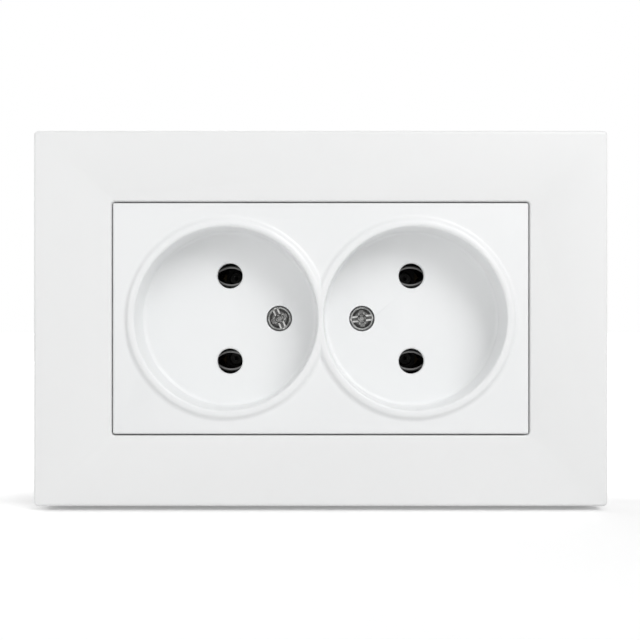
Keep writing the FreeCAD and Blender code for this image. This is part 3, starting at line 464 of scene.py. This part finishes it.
def screwTree(name, finish):
    tree, given = startTree(name, screwInputs)
    radius, height, bevel = given["Head Radius"], given["Head Height"], given["Head Bevel"]
    straight = calc(tree, "SUBTRACT", height, bevel)
    drum = rod(tree, radius, straight, given["Round"])
    drum = move(tree, drum, asVector(tree, z=calc(tree, "MULTIPLY", straight, 0.5)))
    crown = addNode(tree, "GeometryNodeMeshCone", {
        "Vertices": given["Round"], "Radius Bottom": radius, "Depth": bevel,
        "Radius Top": calc(tree, "SUBTRACT", radius, bevel)}).outputs["Mesh"]
    crown = move(tree, crown, asVector(tree, z=straight))
    head = joined(tree, [drum, crown])
    # the slot, and the shorter cross and hub where the screw has them, each cutter twice as deep as its cut
    reach = calc(tree, "MULTIPLY", radius, screwCuts["slotReach"])
    twice = calc(tree, "MULTIPLY", given["Slot Depth"], 2.0)
    slot = block(tree, reach, given["Slot Width"], twice)
    cross = block(tree, given["Cross Width"], given["Cross Length"], twice)
    hub = addNode(tree, "GeometryNodeMeshCone", {
        "Vertices": given["Round"], "Depth": calc(tree, "MULTIPLY", given["Hub Depth"], 2.0),
        "Radius Bottom": calc(tree, "MULTIPLY", given["Hub Radius"], screwCuts["hubNarrow"]),
        "Radius Top": calc(tree, "MULTIPLY", given["Hub Radius"], screwCuts["hubWide"])}).outputs["Mesh"]
    hub = move(tree, hub, asVector(tree, z=calc(tree, "MULTIPLY", given["Hub Depth"], -1.0)))
    crossAndHub = addNode(tree, "GeometryNodeJoinGeometry", {0: [cross, hub]}).outputs[0]
    extra = addNode(tree, "GeometryNodeSwitch", {
        "Switch": calc(tree, "GREATER_THAN", given["Cross Length"], 0.0), "True": crossAndHub},
        input_type="GEOMETRY").outputs[0]
    cuts = addNode(tree, "GeometryNodeJoinGeometry", {0: [slot, extra]}).outputs[0]
    cuts = move(tree, cuts, asVector(tree, z=height), asVector(tree, z=given["Slot Turn"]))
    head = cutAway(tree, head, cuts)
    # the shank: a plain core with the thread's ridge wound round it
    core = calc(tree, "SUBTRACT", given["Shank Radius"], given["Thread Depth"])
    length = given["Shank Length"]
    shank = rod(tree, core, length, screwThread["sides"])
    shank = move(tree, shank, asVector(tree, z=calc(tree, "MULTIPLY", length, -0.5)))
    plain = calc(tree, "MULTIPLY", given["Thread Pitch"], screwThread["plainBoth"])
    wound = calc(tree, "SUBTRACT", length, plain)
    turns = calc(tree, "DIVIDE", wound, given["Thread Pitch"])
    spiral = addNode(tree, "GeometryNodeCurveSpiral", {
        "Resolution": screwThread["turnPoints"], "Rotations": turns,
        "Start Radius": core, "End Radius": core, "Height": wound}).outputs[0]
    spiral = addNode(tree, "GeometryNodeSetCurveNormal", {"Curve": spiral}, mode="Z_UP").outputs[0]
    ridge = addNode(tree, "GeometryNodeCurvePrimitiveCircle", {
        "Resolution": screwThread["ridgeSides"], "Radius": given["Thread Depth"]}, mode="RADIUS").outputs[0]
    thread = addNode(tree, "GeometryNodeCurveToMesh", {
        "Curve": spiral, "Profile Curve": ridge, "Fill Caps": True}).outputs[0]
    gap = calc(tree, "MULTIPLY", given["Thread Pitch"], screwThread["plainEnd"])
    thread = move(tree, thread, asVector(tree, z=calc(tree, "SUBTRACT", gap, length)))
    whole = addNode(tree, "GeometryNodeJoinGeometry", {0: [head, shank, thread]}).outputs[0]
    endTree(tree, move(tree, whole, given["Place"], given["Turn"]), finish)
    return tree


screwKeys = {label: label[0].lower() + label[1:].replace(" ", "") for label in screwInputs}


def screwValues(plan, place, turn, slotAngle=0.0):
    # a length of the plan goes to the input of the same name, as headRadius does to Head Radius
    values = {label: plan[key] * mm for label, key in screwKeys.items() if key in plan}
    values["Place"] = tuple(v * mm for v in place)
    values["Turn"] = tuple(math.radians(v) for v in turn)
    values["Slot Turn"] = math.radians(slotAngle)
    return values


# x, y and z of a screw are the place of its head's underside
coverScrew = {
    "headRadius": 2.65, "headHeight": 1.9, "headBevel": 0.45, "shankLength": 11.0,
    "slotWidth": 0.6, "slotDepth": 0.8, "crossLength": 3.5, "crossWidth": 0.8, "hubRadius": 1.0,
    "hubDepth": 1.2, "x": 9.2, "y": -1.85, "z": 0.0, "slotAngle": {"left": 114.0, "right": 6.5},
}
headPaintedLightAndWear = {
    # the head's colour holds painted light: a painted dark reflection as its ground, the listed rings and
    # bands as painted highlights and reflections, and painted shade in the slot; the lathe rings and the wear
    # are real
    "ringsPerMetre": 9000.0, "wearScale": 1300.0, "ringStrength": 0.2, "roughness": 0.24, "hollow": 0.045,
    "slotHalf": 0.27, "slotFrom": 1.0, "slotTo": 2.3, "slotPaintedShade": 0.13, "ringShare": 0.5, "warmth": 0.985,
    "wornLow": 0.7, "wornHigh": 1.25, "sheen": {"down": 0.05, "up": 0.07},
    # limits in millimetres: out from the axis, along the slot and across it; -1 is no lower limit
    # painted reflections: a grey hub, dark rings, a bright ring highlight, highlights on the slot's lips and
    # on the cross's arms
    "paintedReflections": [
        {"tone": 0.32, "out": (-1.0, 0.88)},
        {"tone": 0.15, "out": (1.0, 1.62)},
        {"tone": 0.7, "out": (2.2, 2.55)},
        {"tone": 0.16, "out": (2.55, 3.0)},
        {"tone": 0.6, "out": (1.0, 2.4), "across": (0.3, 0.68)},
        {"tone": 0.26, "out": (1.05, 1.85), "along": (-1.0, 0.5)},
        {"tone": 0.4, "along": (0.45, 0.72), "across": (0.7, 1.3)},
    ],
}
for side, sign in sides.items():
    word = side.capitalize()
    slotAngle = coverScrew["slotAngle"][side]
    place = (sign * coverScrew["x"], coverScrew["y"], coverScrew["z"])
    finish = paintedReflectionHead(f"coverScrewPaintedReflections{word}", headPaintedLightAndWear, (place[0] * mm, place[2] * mm), slotAngle)
    tree = screwTree(f"Cover screw {side}", finish)
    growPiece(f"coverScrew{word}", tree, screwValues(coverScrew, place, (90, 0, 0), slotAngle),
              finish, [f"cover_screw_{side}"])

terminalScrew = {
    "headRadius": 2.35, "headHeight": 1.6, "headBevel": 0.267, "shankRadius": 1.5, "shankLength": 4.3,
    "slotWidth": 0.8, "slotDepth": 0.9, "threadPitch": 0.5, "x": 4.4, "y": 11.7, "z": 21.75,
}
clawScrew = {
    "headRadius": 2.9, "headHeight": 1.3, "headBevel": 0.26, "shankRadius": 1.75, "shankLength": 20.6,
    "slotWidth": 0.9, "slotDepth": 0.7, "threadPitch": 0.6, "x": 21.0, "y": -1.0, "z": 0.0,
}
terminalTree = screwTree("Terminal screw", finishes["nickelSteel"])
clawTree = screwTree("Claw screw", finishes["zincSteel"])
for side, sign in sides.items():
    word = side.capitalize()
    place = (sign * clawScrew["x"], clawScrew["y"], clawScrew["z"])
    growPiece(f"clawScrew{word}", clawTree, screwValues(clawScrew, place, (90, 0, 0)),
              finishes["zincSteel"], [f"claw_screw_{side}"])
    for pole, up in poles.items():
        place = (sign * terminalScrew["x"], terminalScrew["y"], up * terminalScrew["z"])
        turn = (0, 0, 0) if up > 0 else (180, 0, 0)
        growPiece(f"{pole}Screw{word}", terminalTree, screwValues(terminalScrew, place, turn),
                  finishes["nickelSteel"], [f"{pole}_screw_{side}"])
print("screws:", len(sides) * (2 + len(poles)))


# Hollow rivets, one tree for the four places of the contact clips

rivets = {"shankRadius": 1.0, "boreRadius": 0.5, "headRadius": 1.7, "headHeight": 0.5, "front": 15.6,
          "back": 17.0, "acrossX": 40.4, "acrossZ": 19.0, "shankSides": 32, "headSides": 40, "boreSides": 24}
tree, given = startTree("Hollow rivets", {
    "Shank Radius": rivets["shankRadius"] * mm, "Bore Radius": rivets["boreRadius"] * mm,
    "Head Radius": rivets["headRadius"] * mm, "Head Height": rivets["headHeight"] * mm,
    "Front": rivets["front"] * mm, "Back": rivets["back"] * mm,
    "Across X": rivets["acrossX"] * mm, "Across Z": rivets["acrossZ"] * mm})
grip = calc(tree, "SUBTRACT", given["Back"], given["Front"])
shank = rod(tree, given["Shank Radius"], grip, rivets["shankSides"])
shank = move(tree, shank, asVector(tree, z=calc(tree, "MULTIPLY", grip, 0.5)))
halfHeight = calc(tree, "MULTIPLY", given["Head Height"], 0.5)
crown = addNode(tree, "GeometryNodeMeshCone", {
    "Vertices": rivets["headSides"], "Depth": given["Head Height"], "Radius Top": given["Head Radius"],
    "Radius Bottom": calc(tree, "SUBTRACT", given["Head Radius"], halfHeight)}).outputs["Mesh"]
crown = move(tree, crown, asVector(tree, z=calc(tree, "MULTIPLY", given["Head Height"], -1.0)))
foot = rod(tree, given["Head Radius"], given["Head Height"], rivets["headSides"])
foot = move(tree, foot, asVector(tree, z=calc(tree, "ADD", grip, halfHeight)))
boreLength = calc(tree, "MULTIPLY", grip, 6.0)  # long enough to pass both heads
bore = rod(tree, given["Bore Radius"], boreLength, rivets["boreSides"])
body = cutAway(tree, joined(tree, [shank, crown, foot]), bore)
body = move(tree, body, turn=(math.radians(-90), 0.0, 0.0))
corners = addNode(tree, "GeometryNodeMeshGrid", {
    "Size X": given["Across X"], "Size Y": given["Across Z"],
    "Vertices X": len(sides), "Vertices Y": len(poles)}).outputs["Mesh"]
corners = move(tree, corners, asVector(tree, y=given["Front"]), (math.radians(90), 0.0, 0.0))
rows = addNode(tree, "GeometryNodeInstanceOnPoints", {"Points": corners, "Instance": body}).outputs[0]
endTree(tree, rows, finishes["rivetPaintedShade"])
growPiece("contactRivets", tree, {}, finishes["rivetPaintedShade"],
          [f"{pole}_rivet_{side}" for pole in poles for side in sides])
print("rivets:", len(sides) * len(poles))


# Stage: a pale floor under the frame's lower edge, a white world and soft lamps, in metres and watts but for
# the floor's drop, which is in millimetres

stage = {
    "floorSize": 6.0, "floorDrop": 41.4, "floorColour": 0.9, "floorCloud": 0.91, "cloudScale": 3.0,
    "nearGlow": 0.25, "farGlow": 1.0, "glowStart": 0.12, "glowEnd": 0.5, "glowBehind": 0.045, "ambient": 0.35,
    "lamps": {
        "key": {"place": (0.34, -0.55, 0.46), "size": 0.42, "power": 3.15},
        "fill": {"place": (-0.5, -0.6, 0.1), "size": 0.6, "power": 1.24},
        "rear": {"place": (-0.3, 0.75, 0.2), "size": 0.6, "power": 2.0},
        "edge": {"place": (-0.5, 0.13, 0.3), "size": 0.3, "power": 0.6},
    },
}
floorMesh = bpy.data.meshes.new("studioFloor")
half = stage["floorSize"] / 2
floorCorners = [(-half, -half, 0), (half, -half, 0), (half, half, 0), (-half, half, 0)]
floorMesh.from_pydata(floorCorners, [], [(0, 1, 2, 3)])
floor = bpy.data.objects.new("studioFloor", floorMesh)
floor.location.z = -stage["floorDrop"] * mm
scene.collection.objects.link(floor)
floorPaint, tree, place = newMaterial("studioFloor")
cloud = addNode(tree, "ShaderNodeTexNoise", {"Vector": place, "Scale": stage["cloudScale"]})
matt = addNode(tree, "ShaderNodeBsdfDiffuse", {
    "Color": mixColour(tree, cloud.outputs[0], (stage["floorColour"],) * 3, (stage["floorCloud"],) * 3)})
# to the camera the floor glows more with distance, so that it meets the white world with no horizon;
# metal mirrors it without the glow, because its own light makes it white already
away = addNode(tree, "ShaderNodeVectorMath", {0: place}, operation="LENGTH").outputs["Value"]
around = spread(tree, away, stage["nearGlow"], stage["farGlow"], stage["glowStart"], stage["glowEnd"])
depth = addNode(tree, "ShaderNodeSeparateXYZ", {0: place}).outputs["Y"]
behind = spread(tree, depth, stage["nearGlow"], stage["farGlow"], 0.0, stage["glowBehind"])
strength = calc(tree, "MAXIMUM", around, behind)
cameraRay = addNode(tree, "ShaderNodeLightPath").outputs["Is Camera Ray"]
glow = addNode(tree, "ShaderNodeEmission", {"Strength": calc(tree, "MULTIPLY", cameraRay, strength)})
closeMaterial(tree, addNode(tree, "ShaderNodeAddShader", {0: matt.outputs[0], 1: glow.outputs[0]}))
floorMesh.materials.append(floorPaint)

world = bpy.data.worlds.new("studioWorld")
scene.world = world
world.use_nodes = True
tree = world.node_tree
tree.nodes.clear()
ray = addNode(tree, "ShaderNodeLightPath").outputs
mirrored = calc(tree, "MAXIMUM", ray["Is Glossy Ray"], ray["Is Transmission Ray"])
shown = calc(tree, "MAXIMUM", ray["Is Camera Ray"], mirrored)
ambient = addNode(tree, "ShaderNodeBackground", {"Color": (1, 1, 1, 1), "Strength": stage["ambient"]})
white = addNode(tree, "ShaderNodeBackground", {"Color": (1, 1, 1, 1), "Strength": 1.0})
both = addNode(tree, "ShaderNodeMixShader", {0: shown, 1: ambient.outputs[0], 2: white.outputs[0]})
addNode(tree, "ShaderNodeOutputWorld", {"Surface": both.outputs[0]})

for name, plan in stage["lamps"].items():
    lamp = bpy.data.lights.new(name, "AREA")
    lamp.energy = plan["power"]
    lamp.size = plan["size"]
    holder = bpy.data.objects.new(name, lamp)
    holder.location = plan["place"]
    holder.rotation_euler = (-Vector(plan["place"])).to_track_quat("-Z", "Y").to_euler()
    scene.collection.objects.link(holder)
print("stage and lamps:", len(stage["lamps"]))


# Camera: square on to the front, as the photograph was taken, with its lengths in millimetres

view = {"distance": 229.0, "rimPlane": -14.1, "pixelsPerMm": 4.688, "pictureSize": 640, "nearClip": 10.0,
        "aimX": -0.14, "aimZ": -0.33}
cameraData = bpy.data.cameras.new("photoCamera")
halfPicture = view["pictureSize"] / 2 / view["pixelsPerMm"]
cameraData.lens = cameraData.sensor_width / 2 / (halfPicture / view["distance"])
cameraData.clip_start = view["nearClip"] * mm
camera = bpy.data.objects.new("photoCamera", cameraData)
camera.location = (view["aimX"] * mm, (view["rimPlane"] - view["distance"]) * mm, view["aimZ"] * mm)
camera.rotation_euler = (math.radians(90), 0, 0)
scene.collection.objects.link(camera)
scene.camera = camera
scene.view_settings.view_transform = "Standard"
